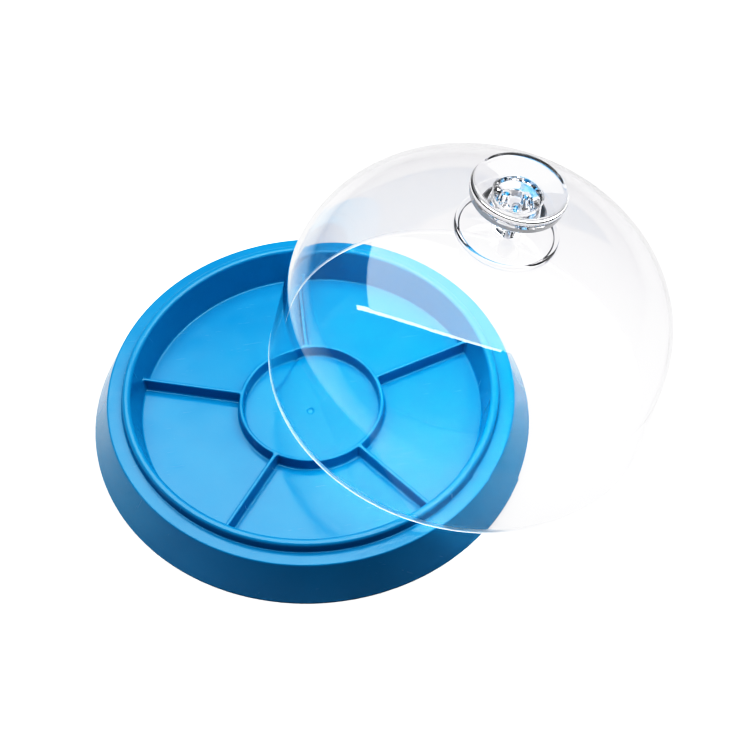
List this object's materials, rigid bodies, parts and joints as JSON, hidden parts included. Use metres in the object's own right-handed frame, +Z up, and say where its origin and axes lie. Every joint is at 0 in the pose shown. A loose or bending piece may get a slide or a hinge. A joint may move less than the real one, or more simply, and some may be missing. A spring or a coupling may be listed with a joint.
{
  "type": "covered divided palette",
  "caption": "Round palette dish divided into outer wells round a centre well, with a clear domed cover and mushroom knob that leans on its rim.",
  "frame": {"origin": "on the table, under the middle of the box round the dish and the leaning cover", "axes": "+X from the dish's centre towards the side where the cover's rim rests on the table, +Z up"},
  "size_m": [0.329, 0.25, 0.1795],
  "materials": {
    "blue_plastic": "glossy sky-blue moulded plastic",
    "clear_cover": "polished water-clear moulded plastic",
    "clear_knob": "polished water-clear solid plastic"
  },
  "bodies": {
    "dish": {"divided_dish": "blue_plastic"},
    "cover": {"dome_cover": "clear_cover", "cover_knob": "clear_knob"}
  },
  "joints": [
    {"name": "cover_lift", "type": "slide", "parent": "dish", "child": "cover", "axis": [0, 0, 1], "range_m": [0, 0.12]}
  ]
}
